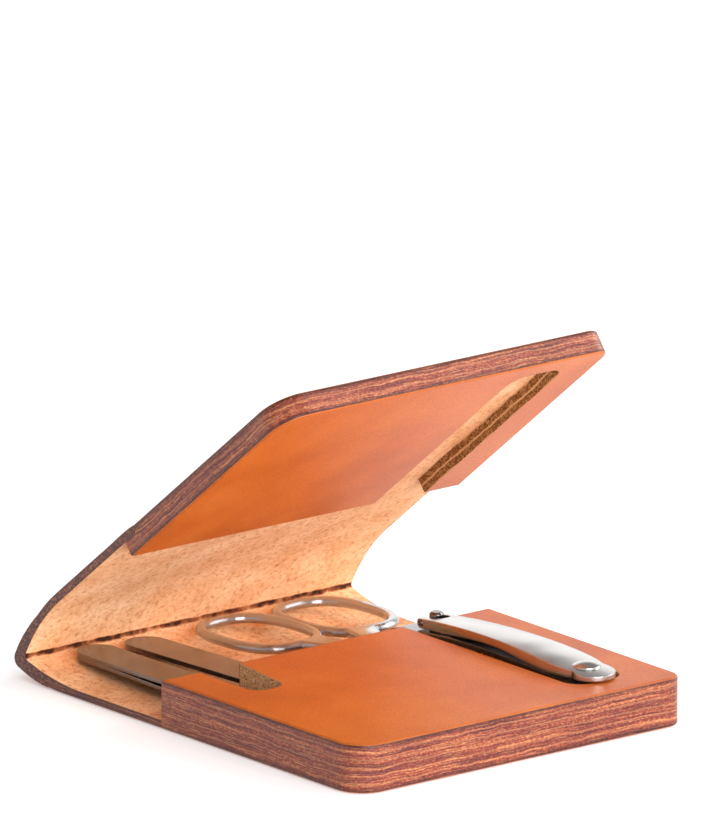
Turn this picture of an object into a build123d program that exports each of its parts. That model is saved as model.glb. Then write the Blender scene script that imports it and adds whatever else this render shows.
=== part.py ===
"""Manicure set case: a stacked-leather case with its lid half open and four steel tools inside.

A single leather cover runs under the base block, folds at a crease, and carries the lid block.
The origin is the middle of the base block's underside. +X points from the spine to the opening
edge, +Y runs along the spine, +Z is up. Millimetres and degrees. The lid stands part open.
"""

import os
from math import asin, copysign, cos, degrees, radians, sin, tan

from build123d import *

# --- leather ---------------------------------------------------------------------------------
cover_thickness = 2.1
layer_thickness = 2.0
base_layers = 5
lid_layers = 2
spine_length = 100.0
block_depth = 74.0
near_corner_radius = 8.0
far_corner_radius = 4.5
edge_rounding = 0.7

# --- floor, crease and flap ------------------------------------------------------------------
floor_depth = 52.4
floor_rise_start = 30.4
crease_rise = 3.95
crease_overhang = 1.6
knuckle_radius = 2.1
underside_rise_start = 38.4
crease_gap = 0.35
closing_angle = 31.7
mitre_allowance = 1.5
flap_bend_radius = 51.0
flap_bend_turn = 26.7
flap_straight = 32.2
fold_gap = 0.15
lid_angle = 38.85

# --- clipper slots ---------------------------------------------------------------------------
slot_width = 15.9
slot_centre_y = 31.45
slot_depth = 65.4
lid_slot_depth = 68.2
slot_corner_radius = 5.0

# --- thumb notch -----------------------------------------------------------------------------
notch_near_y = -39.0
notch_mouth = 12.7
notch_depth = 21.9
notch_end_width = 9.6
notch_end_radius = 4.2

# --- magnets hidden between layers -----------------------------------------------------------
magnet_radius = 4.0
magnet_thickness = 1.5
magnet_inset = 9.0
magnet_gap = 0.05

# --- tweezers --------------------------------------------------------------------------------
tweezers_y = -34.2
tweezers_tail = 49.0
tweezers_length = 92.0
tweezers_width = 10.4
tweezers_tip_width = 2.4
tweezers_sheet = 0.95
tweezers_root = 7.0
tweezers_bow = 0.6
tweezers_tip_gap = 0.45
tweezers_taper_length = 46.0
tweezers_play = 0.6
tweezers_lift = 0.08

# --- nail file -------------------------------------------------------------------------------
file_y = -19.5
file_tail = 49.0
file_length = 90.0
file_width = 10.2
file_thickness = 1.2
file_tilt = 1.75
file_lift = 0.15
file_point_length = 22.0
file_play = 0.5

# --- scissors --------------------------------------------------------------------------------
scissors_y = 16.9
pivot_inset = 7.6
ring_back = 39.3
ring_spacing = 23.3
ring_open_length = 27.4
ring_open_width = 19.4
ring_bar = 2.65
ring_thickness = 2.2
ring_squareness = 2.6
ring_easing = 0.7
ring_gap = 0.1
shoulder_offset = 8.0
shoulder_radius = 4.2
shank_easing = 0.5
waist_back = 9.1
waist_radius = 2.25
lap_back = 12.8
blade_length = 40.0
blade_width = 6.6
blade_tip_width = 1.4
blade_thickness = 1.0
blade_gap = 0.1
pivot_radius = 3.6
screw_radius = 1.1
screw_head_radius = 2.1
screw_head_height = 0.4
screw_clearance = 0.05
scissors_tilt = 1.4
scissors_lift = 0.1
pocket_mouth = 10.8
pocket_end = 9.2
pocket_play = 2.0

# --- nail clipper ----------------------------------------------------------------------------
clipper_tail = 63.6
clipper_rest = 0.15
jaw_sheet = 1.2
jaw_length = 71.5
jaw_width = 11.6
jaw_tail_width = 9.4
jaw_head_length = 14.0
jaw_seat = 7.6
jaw_arch = 1.4
jaw_post_rise = 0.1
jaw_bite = 1.7
jaw_tip_rise = 1.5
jaw_gap = 0.1
lower_lip = 0.6
upper_lip = 0.8
post_inset = 3.1
post_radius = 1.75
post_foot_radius = 2.7
post_foot_height = 0.6
post_foot_gap = 0.1
post_clearance = 0.35
post_chamfer = 0.5
post_head = 2.6
cross_pin_radius = 0.75
cross_pin_offset = 1.6
cross_pin_height = 1.45
cross_pin_gap = 0.08
cross_pin_end = 0.2
lever_width = 11.2
lever_eye_width = 7.2
lever_end_width = 9.6
lever_widest = 40.0
lever_sheet = 1.0
lever_eye = 1.3
lever_tip = 67.4
lever_crown = 34.0
lever_crown_height = 3.45
lever_tip_drop = 2.2
lever_side = 2.9
lever_cross_dome = 0.6
lever_fork = 5.6
lever_end_length = 7.5
dome_radius = 3.4
dome_height = 0.9
rivet_radius = 1.6
rivet_clearance = 0.15
rivet_head_height = 0.25
rivet_inset = 4.0

# --- places worked out from the sizes --------------------------------------------------------
half_spine = spine_length / 2
x_open = block_depth / 2
x_back = -block_depth / 2
x_crease = x_back - floor_depth
base_top = cover_thickness + base_layers * layer_thickness
half_cover = cover_thickness / 2
slot_near_y = slot_centre_y - slot_width / 2
far_strip_y = slot_centre_y + slot_width / 2

knuckle = Vector(x_crease - crease_overhang, 0, half_cover + crease_rise)
floor_bend_x = x_crease + floor_depth - floor_rise_start
floor_run = floor_bend_x - knuckle.X
floor_radius = (floor_run**2 + crease_rise**2) / (2 * crease_rise) - half_cover
underside_bend_x = x_crease + floor_depth - underside_rise_start
underside_run = underside_bend_x - knuckle.X
underside_radius = (underside_run**2 + knuckle.Z**2 - knuckle_radius**2) / (
    2 * (knuckle.Z - knuckle_radius)
)

root_angle = lid_angle + flap_bend_turn
bend_x = flap_bend_radius * (sin(radians(root_angle)) - sin(radians(lid_angle)))
bend_z = flap_bend_radius * (cos(radians(lid_angle)) - cos(radians(root_angle)))
fold = knuckle + Vector(
    bend_x + flap_straight * cos(radians(lid_angle)),
    0,
    bend_z + flap_straight * sin(radians(lid_angle)),
)
lid_place = Location((fold.X, 0, fold.Z), (0, -lid_angle, 0))


def layer_bottom(number):
    """Height of the underside of a base layer, counted from 1 at the bottom."""
    return cover_thickness + (number - 1) * layer_thickness


def side_plane(y):
    """A sketch plane whose first axis is +X and second +Z, at the given Y, extruding to -Y."""
    return Plane(origin=(0, y, 0), x_dir=(1, 0, 0), z_dir=(0, -1, 0))


def across(face, width, centre_y=0.0):
    """Extrudes a sketch drawn in X and Z to a given width about centre_y."""
    return extrude(side_plane(centre_y + width / 2) * face, amount=width)


def upward(face, bottom, height):
    """Extrudes a sketch drawn in X and Y upwards from the height bottom."""
    return extrude(Plane.XY.offset(bottom) * face, amount=height)


def arc_band(centre, radius, thickness, start, turn):
    """Face of a strip that follows an arc about centre, from the angle start through turn."""
    outer = radius + thickness / 2
    inner = radius - thickness / 2
    edges = [
        CenterArc(centre, outer, start, turn),
        CenterArc(centre, inner, start, turn),
    ]
    edges.append(Line(edges[0] @ 0, edges[1] @ 0))
    edges.append(Line(edges[0] @ 1, edges[1] @ 1))
    return make_face(edges)


def block_outline(back, depth):
    """Plan of a leather sheet: square at the spine side, rounded at the opening side."""
    sheet = Pos(back, -half_spine) * Rectangle(depth, spine_length, align=(Align.MIN, Align.MIN))
    front = sheet.vertices().group_by(Axis.X)[-1].sort_by(Axis.Y)
    sheet = fillet(front[0], near_corner_radius)
    front = sheet.vertices().group_by(Axis.Y)[-1].sort_by(Axis.X)
    return fillet(front[-1], far_corner_radius)


def slot_outline(back, depth):
    """Plan of the clipper slot: open at the spine side, with two rounded end corners."""
    slot = Pos(back, slot_near_y) * Rectangle(depth, slot_width, align=(Align.MIN, Align.MIN))
    return fillet(slot.vertices().group_by(Axis.X)[-1], slot_corner_radius)


def notch_outline():
    """Plan of the thumb notch over the tweezers: straight near side, far side drawn in."""
    end_x = x_back + notch_depth
    corners = [
        (x_back, notch_near_y),
        (end_x, notch_near_y),
        (end_x, notch_near_y + notch_end_width),
        (x_back, notch_near_y + notch_mouth),
    ]
    notch = make_face(Polyline(*corners, close=True))
    return fillet(notch.vertices().group_by(Axis.X)[-1], notch_end_radius)


def strip_pocket(centre_y, width, end_x):
    """Plan of a straight tool pocket with a rounded blind end."""
    depth = end_x - x_back
    pocket = Pos(x_back, centre_y) * Rectangle(depth, width, align=(Align.MIN, Align.CENTER))
    return fillet(pocket.vertices().group_by(Axis.X)[-1], width / 2 - 0.5)


def round_outer_edges(solid, level, along):
    """Rounds the burnished outer edge of a sheet at one level, leaving its cut-outs sharp."""
    limit = half_spine - 0.01
    edges = []
    for edge in solid.edges():
        box = edge.bounding_box()
        if abs(box.min.Z - level) > 0.01 or abs(box.max.Z - level) > 0.01:
            continue
        on_side = box.min.Y < -limit or box.max.Y > limit
        on_front = box.max.X > along - 0.01
        if on_side or on_front:
            edges.append(edge)
    return fillet(edges, edge_rounding)


# --- the leather cover -----------------------------------------------------------------------
def base_panel_section():
    """Section of the base panel: flat, then swelling up to a round knuckle at the crease."""
    hollow = Pos(floor_bend_x, cover_thickness + floor_radius) * Circle(floor_radius)
    under = Pos(underside_bend_x, underside_radius) * Circle(underside_radius)
    flat = Pos(underside_bend_x, 0) * Rectangle(
        x_open - underside_bend_x, 2 * cover_thickness, align=(Align.MIN, Align.MIN)
    )
    above = Pos(floor_bend_x, cover_thickness) * Rectangle(
        x_open - floor_bend_x, 2 * cover_thickness, align=(Align.MIN, Align.MIN)
    )
    swell = Pos(knuckle.X, 0) * Rectangle(
        underside_run, 4 * cover_thickness, align=(Align.MIN, Align.MIN)
    )
    nose = Pos(knuckle.X, knuckle.Z) * Circle(knuckle_radius)
    return (flat - above + (swell & under)) - hollow + nose


def cover_base_panel():
    """Sheet under the base block, curving up to a round knuckle at the crease."""
    sheet = across(base_panel_section(), spine_length)
    back = knuckle.X - knuckle_radius - 1
    plan = upward(block_outline(back, x_open - back), -1, base_top)
    return round_outer_edges(sheet & plan, 0, x_open)


def cover_spine_flap():
    """Curved flap between the crease and the lid, hollow at both ends to clear its neighbours."""
    bend_centre = (
        knuckle.X + flap_bend_radius * sin(radians(root_angle)),
        knuckle.Z - flap_bend_radius * cos(radians(root_angle)),
    )
    bend = arc_band(
        bend_centre, flap_bend_radius, cover_thickness, 90 + lid_angle, flap_bend_turn
    )
    run = Pos(fold.X, fold.Z) * Rot(0, 0, lid_angle) * Rectangle(
        flap_straight, cover_thickness, align=(Align.MAX, Align.CENTER)
    )
    face = bend + run
    face -= Pos(knuckle.X, knuckle.Z) * Circle(knuckle_radius + crease_gap)
    closed = Pos(knuckle.X, knuckle.Z) * Rot(0, 0, closing_angle + mitre_allowance)
    face -= closed * Pos(-knuckle.X, -knuckle.Z) * base_panel_section()
    face -= Pos(fold.X, fold.Z) * Circle(half_cover + fold_gap)
    return across(face, spine_length)


def cover_lid_panel():
    """Flat outer sheet of the lid, with a full round nose at the fold."""
    sheet = upward(block_outline(0, block_depth), -half_cover, cover_thickness)
    sheet = round_outer_edges(sheet, half_cover, block_depth)
    nose = across(Circle(half_cover), spine_length)
    return lid_place * (sheet + nose)


# --- the glued blocks ------------------------------------------------------------------------
def scissors_pocket():
    """Plan of the scissors pocket, narrowing with the blades."""
    end_x = x_back + pivot_inset + blade_length + pocket_play
    corners = [
        (x_back, scissors_y - pocket_mouth / 2),
        (end_x, scissors_y - pocket_end / 2),
        (end_x, scissors_y + pocket_end / 2),
        (x_back, scissors_y + pocket_mouth / 2),
    ]
    pocket = make_face(Polyline(*corners, close=True))
    return fillet(pocket.vertices().group_by(Axis.X)[-1], pocket_end / 2 - 0.8)


def tweezers_channel():
    """Plan of the tweezers channel."""
    end_x = x_back - tweezers_tail + tweezers_length + tweezers_play
    return strip_pocket(tweezers_y, tweezers_width + 2 * tweezers_play, end_x)


def file_pocket():
    """Plan of the nail file's pocket."""
    end_x = x_back - file_tail + file_length + file_play
    return strip_pocket(file_y, file_width + 2 * file_play, end_x)


def magnet_places(back):
    """Plan places of the two magnets beside the opening edge."""
    x = back + block_depth - magnet_inset
    return [(x, -half_spine + 2.6 * magnet_inset), (x, half_spine - 6.5 * magnet_inset)]


def magnet_discs(back, bottom, radius, height):
    """The two discs, or with a larger radius their recesses."""
    discs = [
        Pos(x, y, bottom) * Cylinder(radius, height, align=(Align.CENTER, Align.CENTER, Align.MIN))
        for x, y in magnet_places(back)
    ]
    return discs


def base_layer(number):
    """One glued leather layer of the base block with the cut-outs that reach it."""
    outline = block_outline(x_back, block_depth) - slot_outline(x_back, slot_depth)
    if number in (2, 3):
        outline -= tweezers_channel()
    if number in (3, 4):
        outline -= file_pocket()
        outline -= scissors_pocket()
    if number >= 3:
        outline -= notch_outline()
    sheet = upward(outline, layer_bottom(number), layer_thickness)
    if number == base_layers:
        sheet = round_outer_edges(sheet, base_top, x_open)
    if number == base_layers - 1:
        recess_bottom = layer_bottom(base_layers) - magnet_thickness - magnet_gap
        for recess in magnet_discs(
            x_back, recess_bottom, magnet_radius + magnet_gap, magnet_thickness + magnet_gap
        ):
            sheet -= recess
    return sheet


def base_magnets():
    """Two disc magnets let into the layer under the smooth top one."""
    bottom = layer_bottom(base_layers) - magnet_thickness
    return Compound(magnet_discs(x_back, bottom, magnet_radius, magnet_thickness))


lid_core_top = -half_cover
lid_core_bottom = lid_core_top - layer_thickness
lid_facing_bottom = lid_core_bottom - layer_thickness


def lid_core():
    """Hidden middle layer of the lid, with the magnets' recesses."""
    outline = block_outline(0, block_depth) - slot_outline(0, lid_slot_depth)
    sheet = upward(outline, lid_core_bottom, layer_thickness)
    for recess in magnet_discs(
        0, lid_core_bottom, magnet_radius + magnet_gap, magnet_thickness + magnet_gap
    ):
        sheet -= recess
    return lid_place * sheet


def lid_facing():
    """Smooth inner face of the lid."""
    outline = block_outline(0, block_depth) - slot_outline(0, lid_slot_depth)
    sheet = upward(outline, lid_facing_bottom, layer_thickness)
    return lid_place * round_outer_edges(sheet, lid_facing_bottom, block_depth)


def lid_magnets():
    """Two disc magnets let into the lid's middle layer, over those of the base."""
    return lid_place * Compound(magnet_discs(0, lid_core_bottom, magnet_radius, magnet_thickness))


# --- tweezers --------------------------------------------------------------------------------
tail_end_x = x_back - tweezers_tail
tweezers_joint_z = layer_bottom(2) + tweezers_lift + tweezers_bow + tweezers_sheet


def tweezers_plan():
    """Plan of a tweezer arm: round tail, straight sides, tapering to a slanted tip."""
    tail_x = tail_end_x
    tip_x = tail_x + tweezers_length
    half = tweezers_width / 2
    half_tip = tweezers_tip_width / 2
    taper_x = tip_x - tweezers_taper_length
    outline = [
        ThreePointArc((tail_x + half, half), (tail_x, 0), (tail_x + half, -half)),
        Line((tail_x + half, -half), (taper_x, -half)),
        Spline(
            (taper_x, -half), (tip_x, -half_tip), tangents=((1, 0), (1, 0.05)), tangent_scalars=(1, 1)
        ),
        Line((tip_x, -half_tip), (tip_x - half_tip, half_tip)),
        Spline(
            (tip_x - half_tip, half_tip), (taper_x, half), tangents=((-1, 0.05), (-1, 0)),
            tangent_scalars=(1, 1),
        ),
        Line((taper_x, half), (tail_x + half, half)),
    ]
    return Pos(0, tweezers_y) * make_face(outline)


def tweezers_arm(side):
    """Strip that leaves the joint plane at its root, bows out and comes back at the tip."""
    root_x = tail_end_x + tweezers_root
    bow_x = tail_end_x + 0.6 * tweezers_length
    end_x = tail_end_x + tweezers_length + tweezers_play
    tail = (tail_end_x - tweezers_play, tweezers_joint_z)
    root = Line(tail, (root_x, tweezers_joint_z))
    inner = Spline(
        (root_x, tweezers_joint_z),
        (bow_x, tweezers_joint_z + side * tweezers_bow),
        (end_x, tweezers_joint_z + side * tweezers_tip_gap),
        tangents=((1, 0), (1, -0.01 * side)),
    )
    shift = Pos(0, side * tweezers_sheet)
    ends = [Line(root @ 0, shift * root @ 0), Line(inner @ 1, shift * inner @ 1)]
    section = make_face([root, inner, shift * root, shift * inner] + ends)
    strip = across(section, 2 * tweezers_width, tweezers_y)
    return strip & upward(tweezers_plan(), 0, base_top)


def tweezers_lower_arm():
    """Lower arm, bowing down into its channel."""
    return tweezers_arm(-1)


def tweezers_upper_arm():
    """Upper arm, bowing up."""
    return tweezers_arm(1)


# --- nail file -------------------------------------------------------------------------------
def nail_file():
    """Flat file with a round tail and a long point, rising gently into its pocket."""
    tail_x = -file_tail
    tip_x = tail_x + file_length
    half = file_width / 2
    outline = [
        ThreePointArc((tail_x + half, half), (tail_x, 0), (tail_x + half, -half)),
        Line((tail_x + half, -half), (tip_x - file_point_length, -half)),
        TangentArc((tip_x - file_point_length, -half), (tip_x, 0), tangent=(1, 0)),
        TangentArc((tip_x - file_point_length, half), (tip_x, 0), tangent=(1, 0)),
        Line((tip_x - file_point_length, half), (tail_x + half, half)),
    ]
    plate = extrude(make_face(outline), amount=file_thickness)
    bottom = layer_bottom(3) + file_lift
    return Location((x_back, file_y, bottom), (0, -file_tilt, 0)) * plate


# --- scissors --------------------------------------------------------------------------------
pivot_z = layer_bottom(3) + scissors_lift + pivot_inset * tan(radians(scissors_tilt))
scissors_place = Location((x_back + pivot_inset, scissors_y, pivot_z), (0, -scissors_tilt, 0))
plate_step = blade_thickness + blade_gap


def ring_loop(half_length, half_width):
    """Closed squarish oval about the origin."""
    power = 2 / ring_squareness
    points = []
    for step in range(16):
        turn = radians(22.5 * step)
        along, aside = cos(turn), sin(turn)
        points.append(
            (
                half_length * copysign(abs(along) ** power, along),
                half_width * copysign(abs(aside) ** power, aside),
            )
        )
    return make_face(Spline(*points, periodic=True))


def eased_bar(outline, leg):
    """Plate of the rings' thickness with its upper and lower edges cut back."""
    plate = upward(outline, 0, ring_thickness)
    return chamfer(plate.edges().filter_by(lambda edge: edge.bounding_box().size.Z < 0.01), leg)


def scissors_half(side, level):
    """One scissor half drawn about its pivot: ring on the given side, blade on the other."""
    centre = Pos(-ring_back, side * ring_spacing / 2)
    half_length = ring_open_length / 2
    half_width = ring_open_width / 2
    opening = ring_loop(half_length, half_width)
    ring = ring_loop(half_length + ring_bar, half_width + ring_bar) - opening
    shoulder_x = -ring_back + half_length + ring_bar - 0.7 * shoulder_radius
    shoulder = Pos(shoulder_x, side * shoulder_offset) * Circle(shoulder_radius)
    hub = Circle(pivot_radius)
    waist = Pos(-waist_back, side * waist_radius) * Circle(waist_radius)
    shank = make_hull(shoulder.edges() + waist.edges())
    neck = make_hull(waist.edges() + hub.edges())
    handle = centre * eased_bar(ring, ring_easing)
    keep_out = centre * ring_loop(half_length + ring_bar / 2, half_width + ring_bar / 2)
    handle += eased_bar(shank, shank_easing) - upward(keep_out, 0, ring_thickness)
    back_tip = -side * blade_tip_width / 2
    blade = make_face(
        [
            Line((0, -side * 0.9 * pivot_radius), (0, side * 0.9 * pivot_radius)),
            Spline((0, side * 0.9 * pivot_radius), (blade_length, 0)),
            Line((blade_length, 0), (blade_length, back_tip)),
            Spline(
                (blade_length, back_tip),
                (0.45 * blade_length, -side * 0.48 * blade_width),
                (0, -side * 0.9 * pivot_radius),
            ),
        ]
    )
    lower, upper = level * plate_step, level * plate_step + blade_thickness
    ahead = Pos(-lap_back, 0) * Rectangle(
        2 * spine_length, spine_length, align=(Align.MIN, Align.CENTER)
    )
    handle -= upward(ahead, -1, 1 + lower)
    handle -= upward(ahead, upper, ring_thickness)
    other_side = Pos(-waist_back, side * ring_gap) * Rectangle(
        spine_length, spine_length, align=(Align.MAX, Align.MAX if side > 0 else Align.MIN)
    )
    handle -= upward(other_side, -1, 2 + ring_thickness)
    half = handle + upward(neck + blade, lower, blade_thickness)
    return half - Cylinder(screw_radius + screw_clearance, 4 * ring_thickness)


def scissors_near_half():
    """Half with the near ring, lying below."""
    return scissors_place * scissors_half(-1, 0)


def scissors_far_half():
    """Half with the far ring, lying above."""
    return scissors_place * scissors_half(1, 1)


def scissors_pivot_screw():
    """Screw through both halves with a low head on top."""
    top = plate_step + blade_thickness
    shaft = Cylinder(screw_radius, top, align=(Align.CENTER, Align.CENTER, Align.MIN))
    head = Pos(0, 0, top) * Cylinder(
        screw_head_radius, screw_head_height, align=(Align.CENTER, Align.CENTER, Align.MIN)
    )
    return scissors_place * (shaft + head)


# --- nail clipper ----------------------------------------------------------------------------
tail_x = x_back + clipper_tail
jaw_tip_x = tail_x - jaw_length
post_x = x_back + post_inset
pin_x = post_x - cross_pin_offset
rivet_x = tail_x - rivet_inset
jaw_floor = cover_thickness + clipper_rest
seat_z = jaw_floor + jaw_seat
belly_z = jaw_floor + jaw_sheet
upper_z = seat_z + jaw_sheet
pin_z = upper_z + jaw_post_rise + cross_pin_height
crown_x = pin_x + lever_crown
crown_z = pin_z + lever_crown_height
lever_end_x = x_back + lever_tip
foot_z = jaw_floor + post_foot_gap


def jaw_plan():
    """Plan of a jaw: curved cutting edge, full-width head, narrower round tail."""
    half = jaw_width / 2
    half_tail = jaw_tail_width / 2
    head_x = jaw_tip_x + jaw_head_length
    round_x = tail_x - half_tail
    outline = [
        ThreePointArc((jaw_tip_x + 0.8, half), (jaw_tip_x, 0), (jaw_tip_x + 0.8, -half)),
        Line((jaw_tip_x + 0.8, -half), (head_x, -half)),
        Line((head_x, -half), (round_x, -half_tail)),
        ThreePointArc((round_x, -half_tail), (tail_x, 0), (round_x, half_tail)),
        Line((round_x, half_tail), (head_x, half)),
        Line((head_x, half), (jaw_tip_x + 0.8, half)),
    ]
    return Pos(0, slot_centre_y) * make_face(outline)


def jaw_plate(bends, lip_height):
    """Bent strip of sheet steel with a turned cutting lip; bends are shares of its length and tops."""
    tip_z = bends[0][1]
    top = Spline(*[Vector(jaw_tip_x + share * jaw_length, z) for share, z in bends])
    below = Pos(0, -jaw_sheet) * top
    side = make_face([top, below, Line(top @ 0, below @ 0), Line(top @ 1, below @ 1)])
    lip_z = tip_z if lip_height > 0 else tip_z - jaw_sheet
    middle_z = tip_z - jaw_sheet / 2
    lip = make_face(
        Polyline(
            (jaw_tip_x, lip_z),
            (jaw_tip_x, lip_z + lip_height),
            (jaw_tip_x + 3 * abs(lip_height), middle_z),
            (jaw_tip_x, middle_z),
            close=True,
        )
    )
    plate = across(side + lip, 2 * jaw_width, slot_centre_y)
    return plate & upward(jaw_plan(), 0, 2 * base_top)


def clipper_lower_jaw():
    """Lower jaw: straight at the tail, then bellying down to the floor and up to its edge."""
    depth = seat_z - belly_z
    bends = [
        (0.0, belly_z + jaw_tip_rise),
        (0.11, belly_z + 0.05 * depth),
        (0.24, belly_z),
        (0.41, belly_z + 0.42 * depth),
        (0.57, belly_z + 0.84 * depth),
        (0.78, belly_z + 0.98 * depth),
        (1.0, seat_z),
    ]
    jaw = jaw_plate(bends, lower_lip)
    post = Pos(post_x, slot_centre_y)
    jaw -= post * Cylinder(post_radius + post_clearance, 4 * base_top)
    foot_room = foot_z + post_foot_height + post_foot_gap
    jaw -= post * upward(Circle(post_foot_radius + post_clearance), 0, foot_room)
    return jaw - Pos(rivet_x, slot_centre_y) * Cylinder(rivet_radius, 4 * base_top)


def clipper_upper_jaw():
    """Upper jaw: rises from the rivet over the post, then bends down to its cutting edge."""
    tip_z = belly_z + jaw_tip_rise + lower_lip + jaw_bite + upper_lip + jaw_sheet
    bends = [
        (0.0, tip_z),
        (0.055, upper_z - 0.3 * jaw_arch),
        (0.154, upper_z + jaw_post_rise),
        (0.25, upper_z + 0.55 * jaw_arch),
        (0.36, upper_z + 0.92 * jaw_arch),
        (0.48, upper_z + jaw_arch),
        (0.64, upper_z + 0.75 * jaw_arch),
        (0.78, upper_z + 0.35 * jaw_arch),
        (1.0, upper_z + jaw_gap),
    ]
    jaw = jaw_plate(bends, -upper_lip)
    jaw -= Pos(post_x, slot_centre_y) * Cylinder(post_radius + post_clearance, 4 * base_top)
    return jaw - Pos(rivet_x, slot_centre_y) * Cylinder(rivet_radius + rivet_clearance, 4 * base_top)


def clipper_rivet():
    """Rivet that joins the jaws at their tail."""
    bottom = seat_z - jaw_sheet
    top = upper_z + jaw_gap + rivet_head_height
    return Pos(rivet_x, slot_centre_y) * upward(Circle(rivet_radius), bottom, top - bottom)


def clipper_post():
    """Post through both jaws: foot below, notch for the cross pin, rounded head above."""
    shaft = upward(Circle(post_radius), foot_z, pin_z + post_head - foot_z)
    shaft = chamfer(shaft.edges().group_by(Axis.Z)[-1], post_chamfer)
    foot = upward(Circle(post_foot_radius), foot_z, post_foot_height)
    notch_half = cross_pin_radius + cross_pin_gap
    notch = Rot(90, 0, 0) * Cylinder(notch_half, 4 * post_radius)
    notch += Box(
        2 * post_radius,
        4 * post_radius,
        2 * notch_half,
        align=(Align.MAX, Align.CENTER, Align.CENTER),
    )
    return Pos(post_x, slot_centre_y) * (shaft + foot - Pos(-cross_pin_offset, 0, pin_z) * notch)


def clipper_cross_pin():
    """Pin across the lever's cheeks that hooks into the post's notch."""
    pin = Rot(90, 0, 0) * Cylinder(cross_pin_radius, lever_eye_width + 2 * cross_pin_end)
    return Pos(pin_x, slot_centre_y, pin_z) * pin


def lever_section(top, depth):
    """Cross-section at the crown, wider than the lever: flat sides under a domed top."""
    half = 0.6 * lever_width
    shoulder = top - 1.44 * lever_cross_dome
    outline = [
        ThreePointArc((-half, shoulder), (0, top), (half, shoulder)),
        Line((half, shoulder), (half, top - depth)),
        Line((half, top - depth), (-half, top - depth)),
        Line((-half, top - depth), (-half, shoulder)),
    ]
    return make_face(outline)


def lever_arch(top, depth):
    """The lever's section turned about two far axes, one each side of the crown."""
    back_drop = lever_crown_height - lever_eye
    back_radius = (lever_crown**2 + back_drop**2) / (2 * back_drop)
    front_run = lever_end_x - crown_x
    front_radius = (front_run**2 + lever_tip_drop**2) / (2 * lever_tip_drop)
    section = Plane(origin=(crown_x, slot_centre_y, 0), x_dir=(0, 1, 0), z_dir=(1, 0, 0)) * (
        lever_section(top, depth)
    )
    back_axis = Axis((crown_x, slot_centre_y, crown_z - back_radius), (0, -1, 0))
    front_axis = Axis((crown_x, slot_centre_y, crown_z - front_radius), (0, 1, 0))
    back_turn = degrees(asin(lever_crown / back_radius)) + 2
    front_turn = degrees(asin(front_run / front_radius)) + 2
    back = revolve(section, back_axis, revolution_arc=back_turn)
    return back + revolve(section, front_axis, revolution_arc=front_turn)


def lever_side_face():
    """Side view that trims the arch: round eye at the back, deepest sides past the middle."""
    tip_z = crown_z - lever_tip_drop
    low = Spline(
        Vector(lever_end_x + 1, tip_z - 0.4 * lever_side),
        Vector(lever_end_x - 0.2 * lever_crown, tip_z - 0.5 * lever_side),
        Vector(lever_end_x - 0.65 * lever_crown, crown_z - 0.3 * lever_tip_drop - lever_side),
        Vector(crown_x, crown_z - 0.9 * lever_side),
        Vector(pin_x + 0.41 * lever_crown, pin_z),
        Vector(pin_x, pin_z - lever_eye),
    )
    eye = ThreePointArc(
        (pin_x, pin_z - lever_eye), (pin_x - lever_eye, pin_z), (pin_x, pin_z + lever_eye)
    )
    roof = Polyline(
        (pin_x, pin_z + lever_eye),
        (pin_x, crown_z + 2),
        (lever_end_x + 1, crown_z + 2),
        low @ 0,
    )
    return make_face([low, eye, roof])


def lever_plan(inset):
    """Leaf plan of the lever: narrow at the eye, widest past the middle, round at its end."""
    eye_half = lever_eye_width / 2 - inset
    wide_half = lever_width / 2 - inset
    end_half = lever_end_width / 2 - inset
    start_x = pin_x - 2 * lever_eye
    round_x = lever_end_x - lever_end_length
    sides = []
    for way in (1, -1):
        sides.append(
            Spline(
                (start_x, way * eye_half),
                (pin_x + lever_fork, way * (eye_half + 0.15 * (wide_half - eye_half))),
                (pin_x + lever_widest, way * wide_half),
                (round_x, way * end_half),
                tangents=((1, 0), (3, -way)),
            )
        )
    tip = ThreePointArc((round_x, end_half), (lever_end_x - inset, 0), (round_x, -end_half))
    start = Line((start_x, eye_half), (start_x, -eye_half))
    return Pos(0, slot_centre_y) * make_face([*sides, tip, start])


def clipper_lever():
    """Arched channel lever, open below, forked at its eye, with a thumb dome near the tip."""
    body = lever_arch(crown_z, 2 * lever_side) & across(
        lever_side_face(), 2 * lever_width, slot_centre_y
    )
    hollow = lever_arch(crown_z - lever_sheet, 3 * lever_side)
    hollow &= upward(lever_plan(lever_sheet), 0, 3 * base_top)
    hollow_start = pin_x + lever_fork
    hollow_end = lever_end_x - 0.45 * lever_end_length
    hollow &= Pos(hollow_start, slot_centre_y, 0) * Box(
        hollow_end - hollow_start,
        2 * lever_width,
        4 * base_top,
        align=(Align.MIN, Align.CENTER, Align.CENTER),
    )
    body -= hollow
    fork_half = post_radius + post_clearance
    fork = Pos(pin_x + lever_fork - fork_half, slot_centre_y) * (
        Cylinder(fork_half, 4 * base_top)
        + Box(
            lever_fork + 4 * lever_eye,
            2 * fork_half,
            4 * base_top,
            align=(Align.MAX, Align.CENTER, Align.CENTER),
        )
    )
    body -= fork
    dome_sphere = (dome_radius**2 + dome_height**2) / (2 * dome_height)
    dome_run = (rivet_x - crown_x) / (lever_end_x - crown_x)
    dome_base = crown_z - lever_tip_drop * dome_run**2
    dome = Pos(rivet_x, slot_centre_y, dome_base + dome_height - dome_sphere) * Sphere(dome_sphere)
    dome &= Pos(rivet_x, slot_centre_y, dome_base - lever_sheet / 2) * Cylinder(
        dome_radius, 4 * dome_height, align=(Align.CENTER, Align.CENTER, Align.MIN)
    )
    body = (body & upward(lever_plan(0), 0, 3 * base_top)) + dome
    return body - clipper_cross_pin()


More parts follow.
